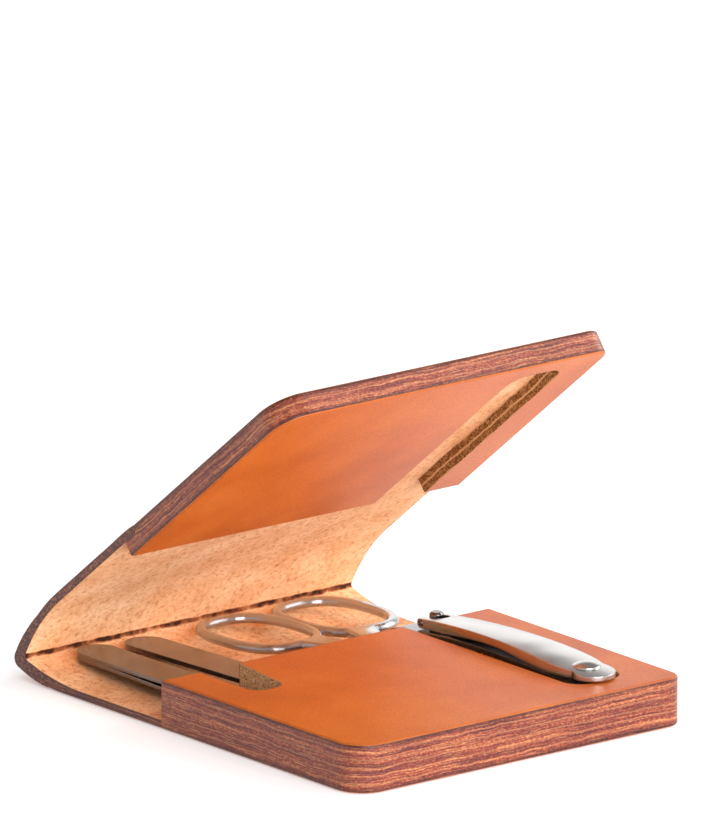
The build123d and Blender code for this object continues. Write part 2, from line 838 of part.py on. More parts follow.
parts = {
    "cover_base_panel": cover_base_panel(),
    "cover_spine_flap": cover_spine_flap(),
    "cover_lid_panel": cover_lid_panel(),
    "base_magnets": base_magnets(),
    "lid_core": lid_core(),
    "lid_facing": lid_facing(),
    "lid_magnets": lid_magnets(),
    "tweezers_lower_arm": tweezers_lower_arm(),
    "tweezers_upper_arm": tweezers_upper_arm(),
    "nail_file": nail_file(),
    "scissors_near_half": scissors_near_half(),
    "scissors_far_half": scissors_far_half(),
    "scissors_pivot_screw": scissors_pivot_screw(),
    "clipper_lower_jaw": clipper_lower_jaw(),
    "clipper_upper_jaw": clipper_upper_jaw(),
    "clipper_rivet": clipper_rivet(),
    "clipper_post": clipper_post(),
    "clipper_cross_pin": clipper_cross_pin(),
    "clipper_lever": clipper_lever(),
}
for count in range(1, base_layers + 1):
    parts[f"base_layer_{count}"] = base_layer(count)

os.makedirs("parts", exist_ok=True)
for name, shape in parts.items():
    export_step(shape, f"parts/{name}.step")
    print(name, len(shape.solids()), round(sum(s.volume for s in shape.solids()), 1))
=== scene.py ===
# %% [markdown]
# # A stacked-leather manicure case
# The case is glued up from sheets of vegetable-tanned leather, then its outer edge is sanded,
# dyed and burnished. Four satin steel tools lie in slots cut through the layers. The packed
# model already holds every rigid shape, so most of this lesson is about finishes, light and
# the few soft details that a hard model leaves out.

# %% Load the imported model
import math

import bmesh
import bpy
from mathutils import Matrix, Vector


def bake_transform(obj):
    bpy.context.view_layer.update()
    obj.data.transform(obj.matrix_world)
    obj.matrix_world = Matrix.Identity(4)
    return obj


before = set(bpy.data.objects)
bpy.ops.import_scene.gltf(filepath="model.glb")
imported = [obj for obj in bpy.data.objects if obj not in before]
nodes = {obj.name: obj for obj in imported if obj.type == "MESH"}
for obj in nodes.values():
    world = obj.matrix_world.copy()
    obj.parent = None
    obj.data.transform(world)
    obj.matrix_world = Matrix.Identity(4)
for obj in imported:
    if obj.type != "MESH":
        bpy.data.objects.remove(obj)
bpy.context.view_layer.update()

# %% [markdown]
# ## Helpers for materials
# Colours are picked as sRGB hex values, the way a screen shows them, and one function turns
# them into the linear numbers that shaders use. One more adds a node with its settings and
# its links, so that each material below reads like a recipe.

# %% Colour and node helpers
def linear(hex_colour):
    """Turns an sRGB hex value into linear red, green, blue and alpha."""
    channels = []
    for start in (1, 3, 5):
        value = int(hex_colour[start : start + 2], 16) / 255
        channels.append(value / 12.92 if value <= 0.04045 else ((value + 0.055) / 1.055) ** 2.4)
    return (*channels, 1.0)


def grey(level):
    """A grey level as a colour, unless it is already a socket."""
    return level if isinstance(level, bpy.types.NodeSocket) else (level, level, level, 1.0)


def add(tree, kind, inputs=None, out=0, stops=None, **settings):
    """Adds a shader node, sets it up, fills or links its inputs and returns one of its outputs."""
    node = tree.nodes.new("ShaderNode" + kind)
    for name, value in settings.items():
        setattr(node, name, value)
    for key, value in (inputs or {}).items():
        if isinstance(value, bpy.types.NodeSocket):
            tree.links.new(value, node.inputs[key])
        else:
            node.inputs[key].default_value = value
    if stops:
        elements = node.color_ramp.elements
        while len(elements) < len(stops):
            elements.new(0.5)
        for element, (position, colour) in zip(elements, stops):
            element.position = position
            element.color = linear(colour) if isinstance(colour, str) else grey(colour)
    return node if out is None else node.outputs[out]


MIXED = 2
MULTIPLY = {"data_type": "RGBA", "blend_type": "MULTIPLY"}


def per_mm(*sizes):
    """Scales coordinates in metres so that one unit of noise is as large as each size in millimetres."""
    return tuple(1000.0 / size for size in sizes)


def new_material(name):
    """Starts a material and returns it with its tree and its principled shader."""
    material = bpy.data.materials.new(name)
    material.use_nodes = True
    tree = material.node_tree
    tree.nodes.clear()
    shader = add(tree, "BsdfPrincipled", out=None)
    add(tree, "OutputMaterial", {"Surface": shader.outputs["BSDF"]}, out=None)
    return material, tree, shader


print("helpers ready")

# %% [markdown]
# ## Leather in four finishes
# One hide shows four faces here. The grain side is smooth, dyed tan and lightly waxed. The
# flesh side is pale and suede-like, with small curled fibres. The outer cut edge is dyed
# red-brown and burnished until its fibres lie in streaks along the layers. The walls of the
# cut-outs stay raw and fuzzy. Each finish is a recipe that returns colour, height and roughness.

# %% Grain: smooth, dyed and waxed
PORE_MM = 0.5
CLOUD_MM = 22.0


def grain_recipe(tree, place):
    """Smooth tan grain: soft clouds of dye and fine pores, drawn a little coarse so that they show."""
    clouds = add(tree, "TexNoise", {"Vector": place, "Scale": 1000 / CLOUD_MM, "Detail": 3.0})
    dye = [(0.30, "#BD5912"), (0.52, "#CA651C"), (0.75, "#D47228")]
    colour = add(tree, "ValToRGB", {"Fac": clouds}, stops=dye)
    pores = add(tree, "TexNoise", {"Vector": place, "Scale": 1000 / PORE_MM, "Detail": 3.0, "Roughness": 0.7})
    tone = add(tree, "ValToRGB", {"Fac": pores}, stops=[(0.34, 0.78), (0.50, 1.0), (0.66, 1.16)])
    return add(tree, "Mix", {0: 1.0, 6: colour, 7: tone}, MIXED, **MULTIPLY), pores, 0.42


# %% Flesh: pale suede with a painted shade line in the fold
PATCH_MM = 9.0
NAP_MM = 1.25
CREASE_SHADE_LINE = (-0.08865, 0.0062)


def flesh_recipe(tree, place):
    """Pale flesh side: mottled nap with a few dark pits, and a thin painted shade line along the crease."""
    patches = add(tree, "TexNoise", {"Vector": place, "Scale": 1000 / PATCH_MM, "Detail": 4.0})
    buff = [(0.32, "#EFB482"), (0.50, "#F8C393"), (0.68, "#FFD0A4")]
    colour = add(tree, "ValToRGB", {"Fac": patches}, stops=buff)
    curled = {"Vector": place, "Scale": 1000 / NAP_MM, "Detail": 6.0, "Roughness": 0.72, "Distortion": 0.6}
    nap = add(tree, "TexNoise", curled)
    fibres = [(0.33, "#CFA98C"), (0.43, "#F1E3D8"), (0.52, 1.0), (0.66, 1.09)]
    tone = add(tree, "ValToRGB", {"Fac": nap}, stops=fibres)
    colour = add(tree, "Mix", {0: 1.0, 6: colour, 7: tone}, MIXED, **MULTIPLY)
    # Painted shade: a thin ragged dark line along the crease's inner corner.
    flat = add(tree, "VectorMath", {0: place, 1: (1.0, 0.0, 1.0)}, operation="MULTIPLY")
    line_at = (CREASE_SHADE_LINE[0], 0.0, CREASE_SHADE_LINE[1])
    apart = add(tree, "VectorMath", {0: flat, 1: line_at}, "Value", operation="DISTANCE")
    ragged = add(tree, "TexNoise", {"Vector": place, "Scale": 400.0, "Detail": 4.0})
    reach = add(tree, "Math", {0: ragged, 1: -0.0008, 2: apart}, operation="MULTIPLY_ADD")
    reach_mm = add(tree, "Math", {0: reach, 1: 1000.0}, operation="MULTIPLY")
    painted_shade_band = [(0.0, "#3A2214"), (0.14, "#A67E60"), (0.36, 1.0)]
    line = add(tree, "ValToRGB", {"Fac": reach_mm}, stops=painted_shade_band)
    return add(tree, "Mix", {0: 1.0, 6: colour, 7: line}, MIXED, **MULTIPLY), nap, 0.95


# %% Raw and burnished cut edges
LAYER_MM = 2.0
COVER_MM = 2.1
JOINT_WAVE_MM = 0.25


def waved(tree, along):
    """Coordinates along the layers, with the slow wave of a hand-glued stack."""
    wave = add(tree, "TexNoise", {"Vector": along, "Scale": 1000 / 9.0, "Detail": 3.0})
    level = add(tree, "Math", {0: wave, 1: 0.5}, operation="SUBTRACT")
    rise = add(tree, "Math", {0: level, 1: JOINT_WAVE_MM * 0.006}, operation="MULTIPLY")
    lift = add(tree, "CombineXYZ", {"Z": rise})
    return add(tree, "VectorMath", {0: along, 1: lift}, operation="ADD")


def joint_distance(tree, along, joint_mm):
    """Millimetres from the nearest glued joint."""
    height = add(tree, "SeparateXYZ", {"Vector": along}, "Z")
    level = add(tree, "Math", {0: height, 1: 1000.0, 2: -joint_mm}, operation="MULTIPLY_ADD")
    return add(tree, "Math", {0: level, 1: LAYER_MM / 2}, operation="PINGPONG")


# Painted light and shade: two copies of the raw fibre, a lighter one for the base's notch and a darker one
# for the lid's slot, which lies in shade.
PAINTED_LIGHT_FIBRE = [(0.37, "#7C5029"), (0.50, "#D8A46D"), (0.62, "#FFE4BC")]
SHADED_FIBRE = [(0.36, "#4A2A12"), (0.50, "#84552A"), (0.64, "#C99A5F")]


def raw_recipe(tree, along, joint_mm, fibre):
    """Wall of a cut-out: undyed fibre in tufts, pale and fuzzy at the joints."""
    long = add(tree, "VectorMath", {0: along, 1: per_mm(0.55, 0.55, 0.4)}, operation="MULTIPLY")
    tufts = add(tree, "TexNoise", {"Vector": long, "Scale": 1.0, "Detail": 5.0, "Roughness": 0.75})
    colour = add(tree, "ValToRGB", {"Fac": tufts}, stops=fibre)
    apart = joint_distance(tree, along, joint_mm)
    ragged = add(tree, "Math", {0: tufts, 1: -0.4, 2: apart}, operation="MULTIPLY_ADD")
    pale = add(tree, "ValToRGB", {"Fac": ragged}, stops=[(0.0, 0.7), (0.08, 0.0)])
    colour = add(tree, "Mix", {0: pale, 6: colour, 7: linear("#E6BC85")}, MIXED, data_type="RGBA")
    return colour, tufts, 0.95


EDGE_DYE = [(0.38, "#431A1B"), (0.45, "#6A2B24"), (0.50, "#853A29"), (0.55, "#A14F33"), (0.63, "#CB8656")]


def edge_recipe(tree, along, joint_mm, rims, streak_share):
    """Burnished edge: streaks and pale threads along the layers, fine speckle, and the painted shade of the
    rims multiplied over it.
    """
    drawn = add(tree, "VectorMath", {0: along, 1: per_mm(26.0, 26.0, 0.36)}, operation="MULTIPLY")
    streaks = add(tree, "TexNoise", {"Vector": drawn, "Scale": 1.0, "Detail": 5.0, "Roughness": 0.6})
    fine = add(tree, "VectorMath", {0: along, 1: per_mm(0.8, 0.8, 0.4)}, operation="MULTIPLY")
    speckle = add(tree, "TexNoise", {"Vector": fine, "Scale": 1.0, "Detail": 3.0, "Roughness": 0.7})
    rest = add(tree, "Math", {0: speckle, 1: 1 - streak_share}, operation="MULTIPLY")
    height = add(tree, "Math", {0: streaks, 1: streak_share, 2: rest}, operation="MULTIPLY_ADD")
    colour = add(tree, "ValToRGB", {"Fac": height}, stops=EDGE_DYE)
    if streak_share:
        thin = add(tree, "VectorMath", {0: along, 1: per_mm(9.0, 9.0, 0.22)}, operation="MULTIPLY")
        threads = add(tree, "TexNoise", {"Vector": thin, "Scale": 1.0, "Detail": 3.0, "Roughness": 0.6})
        shown = add(tree, "ValToRGB", {"Fac": threads}, stops=[(0.60, 0.0), (0.67, 0.5)])
        colour = add(tree, "Mix", {0: shown, 6: colour, 7: linear("#E0A270")}, MIXED, data_type="RGBA")
        apart = joint_distance(tree, along, joint_mm)
        broken = add(tree, "Math", {0: speckle, 1: -0.36, 2: apart}, operation="MULTIPLY_ADD")
        glued = add(tree, "ValToRGB", {"Fac": broken}, stops=[(0.0, 0.26), (0.06, 0.0)])
        colour = add(tree, "Mix", {0: glued, 6: colour, 7: linear("#DB9A68")}, MIXED, data_type="RGBA")
    for rim in rims:
        colour = add(tree, "Mix", {0: 1.0, 6: colour, 7: rim}, MIXED, **MULTIPLY)
    return colour, height, 0.34


print("four finishes ready")

# %% [markdown]
# ### One leather that knows its faces
# A piece's material picks a finish by where its surface faces. `turn` tips the layers level
# first, because the lid's are tilted. A face that looks along the stack gets `up` or `down`;
# anything between is cut edge. Walls inside the block are cut-outs, so they stay raw. A Bevel
# node rounds the outer rims the way a burnisher does, and the same node says where the rim is:
# its normal leaves the flat one there, and the colour is darkened there on every finish as
# painted shade of the rounded rim. A band near the top and bottom rims, and the whole edge of a
# single sheet, get the same painted shade.

# %% Leather material
LID_TURN = math.radians(38.85)
FLAP_TURN = math.radians(52.0)
RIM_MM = 0.9
RIM_BAND = 1.3
SHARP_MM = 0.05
# Colour level of the painted shade over the whole cut edge of a single sheet.
SHEET_SHADE_LEVEL = 0.62
CUT_BELOW = 0.6
SHEET = (-50.0, 150.0)
LEATHER_IOR = 1.46
NAP_DEPTH = 0.00012


def blended(tree, factor, first, second):
    """Mixes two finishes: colour, height and roughness together."""
    pairs = zip(first, second)
    return [
        add(tree, "Mix", {0: factor, 6: grey(one), 7: grey(other)}, MIXED, data_type="RGBA")
        for one, other in pairs
    ]


def cut_mask(tree, along, x_limits, y_limit):
    """One inside the box that holds a block's cut-outs, nought outside it."""
    at = add(tree, "SeparateXYZ", {"Vector": along}, None).outputs
    after = add(tree, "Math", {0: at["X"], 1: x_limits[0]}, operation="GREATER_THAN")
    before = add(tree, "Math", {0: at["X"], 1: x_limits[1]}, operation="LESS_THAN")
    across = add(tree, "Math", {0: at["Y"]}, operation="ABSOLUTE")
    between = add(tree, "Math", {0: across, 1: y_limit}, operation="LESS_THAN")
    both = add(tree, "Math", {0: after, 1: before}, operation="MULTIPLY")
    return add(tree, "Math", {0: both, 1: between}, operation="MULTIPLY")


def rim_distance(tree, along, rims_mm):
    """Millimetres from the nearer of the two outer rims."""
    height = add(tree, "SeparateXYZ", {"Vector": along}, "Z")
    middle, half = (rims_mm[0] + rims_mm[1]) / 2, (rims_mm[1] - rims_mm[0]) / 2
    off = add(tree, "Math", {0: height, 1: 1000.0, 2: -middle}, operation="MULTIPLY_ADD")
    off = add(tree, "Math", {0: off}, operation="ABSOLUTE")
    return add(tree, "Math", {0: half, 1: off}, operation="SUBTRACT")


def rim_radius(tree, from_rim, sheet, outside):
    """Radius of the rounded rim in metres: outside, near top and bottom, and all over a single sheet."""
    near = add(tree, "Math", {0: from_rim, 1: RIM_BAND * RIM_MM}, operation="LESS_THAN")
    near = add(tree, "Math", {0: near, 1: outside}, operation="MULTIPLY")
    either = add(tree, "Math", {0: near, 1: sheet}, operation="MAXIMUM")
    span = (RIM_MM - SHARP_MM) / 1000
    return add(tree, "Math", {0: either, 1: span, 2: SHARP_MM / 1000}, operation="MULTIPLY_ADD")


def leather(
    name,
    up,
    down,
    turn=0.0,
    joint_mm=COVER_MM,
    rims_mm=SHEET,
    raw_inside=None,
    fibre=PAINTED_LIGHT_FIBRE,
    sheet_before=-1.0,
    streak_share=0.55,
):
    """Leather whose upper, lower, outer and inner faces have their own finishes."""
    material, tree, shader = new_material(name)
    texture = add(tree, "TexCoord", out=None).outputs
    place = texture["Object"]
    along = add(tree, "Mapping", {"Vector": place, "Rotation": (0.0, turn, 0.0)})
    facing = add(tree, "Mapping", {"Vector": texture["Normal"], "Rotation": (0.0, turn, 0.0)})
    lean = add(tree, "SeparateXYZ", {"Vector": facing}, "Z")
    from_rim = rim_distance(tree, along, rims_mm)
    along_x = add(tree, "SeparateXYZ", {"Vector": along}, "X")
    sheet = add(tree, "Math", {0: along_x, 1: sheet_before}, operation="LESS_THAN")
    # Painted shade: a single sheet's cut edge is darkened all over, as if it were all rim.
    painted_sheet_shade = add(tree, "ValToRGB", {"Fac": sheet}, stops=[(0.0, 1.0), (1.0, SHEET_SHADE_LEVEL)])
    inside = cut_mask(tree, along, *raw_inside) if raw_inside else 0.0
    outside = add(tree, "Math", {0: 1.0, 1: inside}, operation="SUBTRACT")
    radius = rim_radius(tree, from_rim, sheet, outside)
    round_normal = add(tree, "Bevel", {"Radius": radius}, samples=4)
    true_normal = add(tree, "NewGeometry", out="True Normal")
    agree = add(tree, "VectorMath", {0: round_normal, 1: true_normal}, "Value", operation="DOT_PRODUCT")
    # Painted shade: the colour is darkened where the rounded normal turns away from the flat one.
    painted_rim_shade = add(tree, "ValToRGB", {"Fac": agree}, stops=[(0.75, 0.38), (0.93, 0.58), (0.995, 1.0)])
    waves = waved(tree, along)
    # Painted shade: the colour is darkened in a ragged band within about a millimetre of the top and bottom
    # rims.
    edge_noise = add(tree, "TexNoise", {"Vector": place, "Scale": 1000 / 1.6, "Detail": 4.0})
    frayed = add(tree, "Math", {0: edge_noise, 1: 1.0, 2: from_rim}, operation="MULTIPLY_ADD")
    low = add(tree, "Math", {0: frayed, 1: 0.25}, operation="MULTIPLY")
    painted_shade_band = add(tree, "ValToRGB", {"Fac": low}, stops=[(0.26, 0.42), (0.48, 1.0)])
    recipes = {"grain": grain_recipe, "flesh": flesh_recipe}
    top, under = recipes[up](tree, place), recipes[down](tree, place)
    cut = edge_recipe(tree, waves, joint_mm, (painted_shade_band, painted_sheet_shade), streak_share)
    if raw_inside:
        cut = blended(tree, inside, cut, raw_recipe(tree, waves, joint_mm, fibre))
    above = add(tree, "Math", {0: lean, 1: 0.0}, operation="GREATER_THAN")
    tilt = add(tree, "Math", {0: lean}, operation="ABSOLUTE")
    face = add(tree, "ValToRGB", {"Fac": tilt}, stops=[(CUT_BELOW - 0.12, 0.0), (CUT_BELOW, 1.0)])
    colour, height, rough = blended(tree, face, cut, blended(tree, above, under, top))
    colour = add(tree, "Mix", {0: 1.0, 6: colour, 7: painted_rim_shade}, MIXED, **MULTIPLY)
    tree.links.new(colour, shader.inputs["Base Color"])
    tree.links.new(rough, shader.inputs["Roughness"])
    relief = {"Height": height, "Distance": NAP_DEPTH, "Strength": 0.6, "Normal": round_normal}
    tree.links.new(add(tree, "Bump", relief), shader.inputs["Normal"])
    shader.inputs["IOR"].default_value = LEATHER_IOR
    return material


# %% Make the leathers
BASE_RIMS, LID_RIMS = (0.0, 12.1), (61.37, 67.47)
LID_JOINT = 65.37
base_cut = ((-0.0368, 0.0289), 0.0421)
lid_cut = ((-0.0122, 0.0555), 0.0421)
cover_base_leather = leather(
    "cover_base_leather", "flesh", "grain", joint_mm=0.1, rims_mm=BASE_RIMS, sheet_before=-0.0372
)
single_sheet = {"sheet_before": 1.0, "streak_share": 0.0}
cover_flap_leather = leather("cover_flap_leather", "grain", "flesh", turn=FLAP_TURN, **single_sheet)
cover_lid_leather = leather(
    "cover_lid_leather", "grain", "flesh", turn=LID_TURN, joint_mm=LID_JOINT, rims_mm=LID_RIMS
)
block_leather = leather("base_block_leather", "grain", "flesh", rims_mm=BASE_RIMS, raw_inside=base_cut)
lid_block_leather = leather(
    "lid_block_leather",
    "flesh",
    "grain",
    turn=LID_TURN,
    joint_mm=LID_JOINT,
    rims_mm=LID_RIMS,
    raw_inside=lid_cut,
    fibre=SHADED_FIBRE,
)
print("leathers made")

# %% [markdown]
# ### Leather for the folds
# A fold bends as the lid moves, and its normals turn with it, so a material that reads normals
# would change finish there. The folds get one plain material for each face instead.

# %% Fold leathers
# Colour level of the painted shade over the folds' cut edges.
FOLD_EDGE_SHADE_LEVEL = 0.48


def sheet_edge_recipe(tree, place):
    """Cut edge of a single sheet, darkened all over with painted shade and without the stack's joints."""
    return edge_recipe(tree, place, COVER_MM, (grey(FOLD_EDGE_SHADE_LEVEL),), 0.0)


def fold_leather(name, recipe):
    """One finish all over."""
    material, tree, shader = new_material(name)
    colour, height, rough = recipe(tree, add(tree, "TexCoord", out="Object"))
    tree.links.new(colour, shader.inputs["Base Color"])
    relief = {"Height": height, "Distance": NAP_DEPTH, "Strength": 0.6}
    tree.links.new(add(tree, "Bump", relief), shader.inputs["Normal"])
    shader.inputs["Roughness"].default_value = rough
    shader.inputs["IOR"].default_value = LEATHER_IOR
    return material


fold_finishes = [
    fold_leather("fold_grain_leather", grain_recipe),
    fold_leather("fold_flesh_leather", flesh_recipe),
    fold_leather("fold_edge_leather", sheet_edge_recipe),
]
print("fold leathers made")

# %% [markdown]
# ## Satin steel
# The tools are stamped from stainless sheet and tumbled to a satin, so they mirror the room
# softly and take the leather's brown. Stamping leaves the faces slightly wavy, tumbling leaves a
# cloudy sheen, and every edge is broken; a Bevel node softens those edges for the light.

# %% Build the steel materials
CLOUD_STEEL_MM = 6.0
WAVE_STEEL_MM = 11.0


def satin_steel(name, base, roughness, edge_mm):
    """Tumbled stainless steel with a cloudy sheen, wavy faces and softened edges."""
    material, tree, shader = new_material(name)
    place = add(tree, "TexCoord", out="Object")
    clouds = add(tree, "TexNoise", {"Vector": place, "Scale": 1000 / CLOUD_STEEL_MM, "Detail": 3.0})
    tone = add(tree, "ValToRGB", {"Fac": clouds}, stops=[(0.3, 0.93), (0.7, 1.04)])
    colour = add(tree, "Mix", {0: 1.0, 6: linear(base), 7: tone}, MIXED, **MULTIPLY)
    tree.links.new(colour, shader.inputs["Base Color"])
    spread = [(0.3, roughness - 0.04), (0.7, roughness + 0.05)]
    tree.links.new(add(tree, "ValToRGB", {"Fac": clouds}, stops=spread), shader.inputs["Roughness"])
    soft = add(tree, "Bevel", {"Radius": edge_mm / 1000.0}, samples=6)
    wave = add(tree, "TexNoise", {"Vector": place, "Scale": 1000 / WAVE_STEEL_MM, "Detail": 0.0})
    relief = {"Height": wave, "Distance": 0.0004, "Strength": 1.0, "Normal": soft}
    tree.links.new(add(tree, "Bump", relief), shader.inputs["Normal"])
    shader.inputs["Metallic"].default_value = 1.0
    return material


# Painted shade: the tools' steel is much darker than the rings' and the lever's, standing in for the shaded
# lid that they mirror.
shade_darkened_tool_steel = satin_steel("satin_tool_steel_painted_shade", "#807C7B", 0.20, 0.3)
ring_steel = satin_steel("polished_ring_steel", "#B6B5B6", 0.13, 1.2)
lever_steel = satin_steel("satin_lever_steel", "#C2BFBC", 0.22, 0.4)
print("steels:", shade_darkened_tool_steel.name, ring_steel.name, lever_steel.name)

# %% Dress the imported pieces
dress = {
    "cover_base_panel": cover_base_leather,
    "cover_spine_flap": cover_flap_leather,
    "cover_lid_panel": cover_lid_leather,
    "lid_core": lid_block_leather,
    "lid_facing": lid_block_leather,
    "scissors_near_half": ring_steel,
    "scissors_far_half": ring_steel,
    "clipper_lever": lever_steel,
}
for name, node in nodes.items():
    plain = block_leather if name.startswith("base_layer") else shade_darkened_tool_steel
    for slot in node.material_slots:
        slot.material = dress.get(name, plain)
print("dressed", len(nodes), "with slots", {len(node.material_slots) for node in nodes.values()})

# %% [markdown]
# ## Leather across the two folds
# On the real case the cover is one strip that bends at the crease and again at the lid. The hard
# model has to part it there. A sleeve of leather closes each place, less than a tenth of a
# millimetre proud.

# %% Sleeves over the crease and the lid fold
KNUCKLE = (-0.0910, 0.0050)
FOLD = (-0.051488, 0.043808)
HALF_COVER = 0.00105
PROUD = 0.00008
END_PROUD = 0.00002
HALF_SPINE = 0.0500
LAP_STEP = 0.0012
FLAP_STEP = 0.0016
INNER_STOP_X = -0.0882
INNER_CORNER = (-0.08935, 0.0058)


def sleeve(name, outline, inside):
    """Closes a section through (x, z) points into a band along the spine, with soft end edges.

    A face that looks away from the point inside the case is grain, one that looks towards it is
    flesh, and one that looks along the spine is cut edge.
    """
    shape = bmesh.new()
    corners = [shape.verts.new((x, -HALF_SPINE - END_PROUD, z)) for x, z in outline]
    face = shape.faces.new(corners)
    grown = bmesh.ops.extrude_face_region(shape, geom=[face])
    moved = [item for item in grown["geom"] if isinstance(item, bmesh.types.BMVert)]
    bmesh.ops.translate(shape, verts=moved, vec=(0.0, 2 * (HALF_SPINE + END_PROUD), 0.0))
    bmesh.ops.recalc_face_normals(shape, faces=shape.faces)
    rims = [
        edge
        for edge in shape.edges
        if abs(edge.verts[0].co.y - edge.verts[1].co.y) < 1e-6
    ]
    bmesh.ops.bevel(
        shape, geom=rims, offset=0.00005, segments=3, profile=0.5, affect="EDGES", material=-1
    )
    for face in shape.faces:
        face.smooth = len(face.verts) == 4
    mesh = bpy.data.meshes.new(name)
    shape.to_mesh(mesh)
    shape.free()
    for finish in fold_finishes:
        mesh.materials.append(finish)
    for polygon in mesh.polygons:
        outward = (polygon.center - Vector(inside)).dot(polygon.normal) > 0
        polygon.material_index = 2 if abs(polygon.normal.y) > 0.5 else 0 if outward else 1
    piece = bpy.data.objects.new(name, mesh)
    bpy.context.scene.collection.objects.link(piece)
    return piece


def proud_at(share):
    """Stands proud in the middle of a sleeve and dives under the surface at its ends."""
    share = min(max(share, 0.0), 1.0)
    return PROUD * (2.5 * share * share * (3 - 2 * share) - 1.5)


def crease_outline():
    """Section of the crease: floor side, round back, and the root of the flap."""
    outline = []
    root = math.radians(65.55)
    radius = 0.051
    centre = (KNUCKLE[0] + radius * math.sin(root), KNUCKLE[1] - radius * math.cos(root))
    under_radius, under_x = 0.0455, -0.0754
    for step in range(9):
        x = -0.0800 - LAP_STEP * step
        out = proud_at(step / 3)
        z = under_radius - math.sqrt((under_radius + out) ** 2 - (x - under_x) ** 2)
        outline.append((x, z))
    reach = 0.0021 + PROUD
    for step in range(9):
        angle = math.radians(248.0 - (248.0 - 155.5) * step / 8)
        outline.append((KNUCKLE[0] + reach * math.cos(angle), KNUCKLE[1] + reach * math.sin(angle)))

    def flap_point(run, offset):
        tilt = root - run / radius
        far = radius + offset
        return centre[0] - far * math.sin(tilt), centre[1] + far * math.cos(tilt)

    for step in range(1, 11):
        run = FLAP_STEP * step
        share = 1 - step / 10
        ease = share * share * (3 - 2 * share)
        outline.append(flap_point(run, HALF_COVER + proud_at((10 - step) / 3) + ease * 0.00105))
    for step in range(10, 1, -1):
        outline.append(flap_point(FLAP_STEP * step, -HALF_COVER - proud_at((10 - step) / 3)))
    floor_radius, floor_x = 0.0714, -0.0674
    floor_centre = (floor_x, 0.0021 + floor_radius)
    start = flap_point(0.0022, -HALF_COVER - PROUD)
    stop_angle = math.asin((floor_x - INNER_STOP_X) / floor_radius)
    stop = (
        floor_centre[0] - (floor_radius - PROUD) * math.sin(stop_angle),
        floor_centre[1] - (floor_radius - PROUD) * math.cos(stop_angle),
    )
    for step in range(1, 6):
        t = step / 6
        outline.append(
            tuple(
                (1 - t) ** 2 * a + 2 * t * (1 - t) * c + t * t * b
                for a, c, b in zip(start, INNER_CORNER, stop)
            )
        )
    for step in range(7):
        x = INNER_STOP_X + LAP_STEP * step
        angle = math.asin((floor_x - x) / floor_radius)
        far = floor_radius - proud_at((6 - step) / 3)
        outline.append((floor_centre[0] - far * math.sin(angle), floor_centre[1] - far * math.cos(angle)))
    return outline


def fold_outline():
    """Section of the sleeve at the lid fold, level with the lid."""
    tilt = LID_TURN
    steps = 12
    outer, inner = [], []
    for index in range(steps + 1):
        out = HALF_COVER + proud_at(min(index, steps - index) / 3)
        along = -0.006 + 0.011 * index / steps
        outer.append((along, out))
        inner.append((along, -out))
    outline = outer + inner[::-1]
    return [
        (
            FOLD[0] + along * math.cos(tilt) - up * math.sin(tilt),
            FOLD[1] + along * math.sin(tilt) + up * math.cos(tilt),
        )
        for along, up in outline
    ]


crease = sleeve("crease_sleeve", crease_outline(), (-0.075, 0.0, 0.012))
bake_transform(crease)
lid_fold = sleeve("lid_fold_sleeve", fold_outline(), (-0.045, 0.0, 0.035))
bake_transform(lid_fold)
print("sleeves:", len(crease.data.polygons), len(lid_fold.data.polygons))

# %% [markdown]
# ## Floor, world and lamps
# The case is photographed on a white sweep. The floor is a plain disc whose own colour is white;
# a little glow for camera rays takes it to paper white without adding light to the leather.

# %% Floor
def stage_floor():
    """A wide pale disc just under the case."""
    shape = bmesh.new()
    bmesh.ops.create_circle(shape, cap_ends=True, cap_tris=False, segments=96, radius=6.0)
    mesh = bpy.data.meshes.new("floor")
    shape.to_mesh(mesh)
    shape.free()
    floor = bpy.data.objects.new("floor", mesh)
    bpy.context.scene.collection.objects.link(floor)
    material = bpy.data.materials.new("white_sweep")
    material.use_nodes = True
    tree = material.node_tree
    tree.nodes.clear()
    paper = add(tree, "BsdfDiffuse", {"Color": linear("#F4F3F4"), "Roughness": 0.0})
    glow = add(tree, "Emission", {"Color": grey(1.0), "Strength": 0.34})
    path = add(tree, "LightPath", out=None).outputs
    seen = add(tree, "Math", {0: path["Is Camera Ray"], 1: path["Is Glossy Ray"]}, operation="MAXIMUM")
    lit = add(tree, "AddShader", {0: paper, 1: glow})
    chosen = add(tree, "MixShader", {0: seen, 1: paper, 2: lit})
    add(tree, "OutputMaterial", {"Surface": chosen}, None)
    mesh.materials.append(material)
    floor.location.z = -0.0002
    return floor


stage_floor()
print("floor laid")

# %% [markdown]
# ## The room
# The camera sees paper white everywhere. Soft light reaches the leather mostly from the case's
# opening side. Steel sees the white backdrop near the horizon and a dimmer ceiling above it,
# which is what gives the lever its fall from bright crown to darker tip.

# %% World
ROOM_LEVELS = [(0.0, 0.22), (0.45, 0.40), (0.75, 0.75), (1.0, 1.0)]
CEILING_LEVELS = [(0.36, 1.0), (0.60, 0.33), (1.0, 0.33)]
BRIGHT_SIDE = (0.80, 0.35, 0.48)


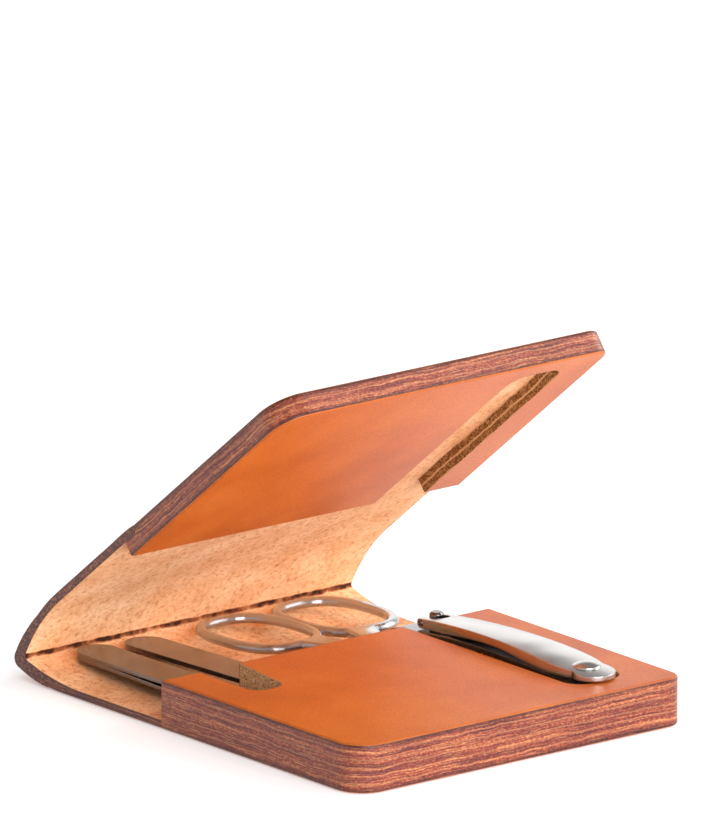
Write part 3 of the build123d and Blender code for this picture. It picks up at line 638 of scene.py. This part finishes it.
def stage_world():
    """White surroundings to the camera, and a studio's levels to the leather and the steel."""
    world = bpy.data.worlds.new("studio")
    bpy.context.scene.world = world
    world.use_nodes = True
    tree = world.node_tree
    tree.nodes.clear()
    path = add(tree, "LightPath", out=None).outputs
    seen = add(tree, "Math", {0: path["Is Camera Ray"], 1: path["Is Transmission Ray"]}, operation="MAXIMUM")
    ray = add(tree, "TexCoord", out="Generated")
    toward = add(tree, "VectorMath", {0: ray, 1: BRIGHT_SIDE}, "Value", operation="DOT_PRODUCT")
    share = add(tree, "Math", {0: toward, 1: 0.5, 2: 0.5}, operation="MULTIPLY_ADD")
    room = add(tree, "ValToRGB", {"Fac": share}, stops=ROOM_LEVELS)
    high = add(tree, "SeparateXYZ", {"Vector": ray}, "Z")
    ceiling = add(tree, "ValToRGB", {"Fac": high}, stops=CEILING_LEVELS)
    mirrored = add(tree, "Mix", {0: path["Is Glossy Ray"], 6: room, 7: ceiling}, MIXED, data_type="RGBA")
    shown = add(tree, "Mix", {0: seen, 6: mirrored, 7: grey(1.0)}, MIXED, data_type="RGBA")
    add(tree, "OutputWorld", {"Surface": add(tree, "Background", {"Color": shown, "Strength": 1.0})}, None)


stage_world()
print("world set")

# %% Lamps
def soft_lamp(name, place, target, size, power):
    """A square soft box that looks at a point."""
    lamp = bpy.data.lights.new(name, "AREA")
    lamp.shape = "RECTANGLE"
    lamp.size, lamp.size_y = size
    lamp.energy = power
    holder = bpy.data.objects.new(name, lamp)
    bpy.context.scene.collection.objects.link(holder)
    direction = Vector(target) - Vector(place)
    aimed = direction.to_track_quat("-Z", "Y").to_matrix().to_4x4()
    holder.matrix_world = Matrix.Translation(place) @ aimed
    return holder


soft_lamp("side_box", (0.80, -0.15, 0.22), (-0.04, 0.0, 0.02), (0.6, 0.4), 6.4)
soft_lamp("far_box", (-0.75, 0.62, 0.28), (0.0, 0.0, 0.0), (0.7, 0.4), 0.5)
soft_lamp("back_box", (0.25, 0.75, 0.45), (0.0, 0.0, 0.0), (0.8, 0.5), 5.0)
print("lamps set")

# %% [markdown]
# ## The camera
# The photograph was taken from far off with a long lens, so parallel edges stay nearly
# parallel. Azimuth, elevation, roll and distance come from fitting the case's corners.

# %% Camera
AZIMUTH = math.radians(51.009)
ELEVATION = math.radians(15.754)
ROLL = math.radians(0.181)
CAMERA_DISTANCE = 8.4526
PIXELS_PER_METRE = 4205.3
CENTRE_SHIFT = (-1.1993, 289.1242)
PICTURE_HEIGHT = 830
AIM = Vector((-0.0244, 0.0, 0.0))


def photo_camera():
    """Places the fitted camera and makes it the scene's own."""
    right = Vector((math.cos(AZIMUTH), math.sin(AZIMUTH), 0.0))
    back = Vector(
        (
            math.sin(AZIMUTH) * math.cos(ELEVATION),
            -math.cos(AZIMUTH) * math.cos(ELEVATION),
            math.sin(ELEVATION),
        )
    )
    up = back.cross(right)
    turned_right = right * math.cos(ROLL) + up * math.sin(ROLL)
    turned_up = up * math.cos(ROLL) - right * math.sin(ROLL)
    place = (
        AIM
        - turned_right * CENTRE_SHIFT[0] / PIXELS_PER_METRE
        + turned_up * CENTRE_SHIFT[1] / PIXELS_PER_METRE
        + back * CAMERA_DISTANCE
    )
    data = bpy.data.cameras.new("photo_camera")
    data.sensor_fit = "VERTICAL"
    data.sensor_height = 24.0
    data.lens = PIXELS_PER_METRE * CAMERA_DISTANCE / PICTURE_HEIGHT * data.sensor_height
    data.clip_end = 100.0
    camera = bpy.data.objects.new("photo_camera", data)
    bpy.context.scene.collection.objects.link(camera)
    axes = Matrix((turned_right, turned_up, back)).transposed().to_4x4()
    camera.matrix_world = Matrix.Translation(place) @ axes
    bpy.context.scene.camera = camera
    print("lens", round(data.lens, 1), "mm")


photo_camera()

# %% View settings
bpy.context.scene.view_settings.view_transform = "Standard"
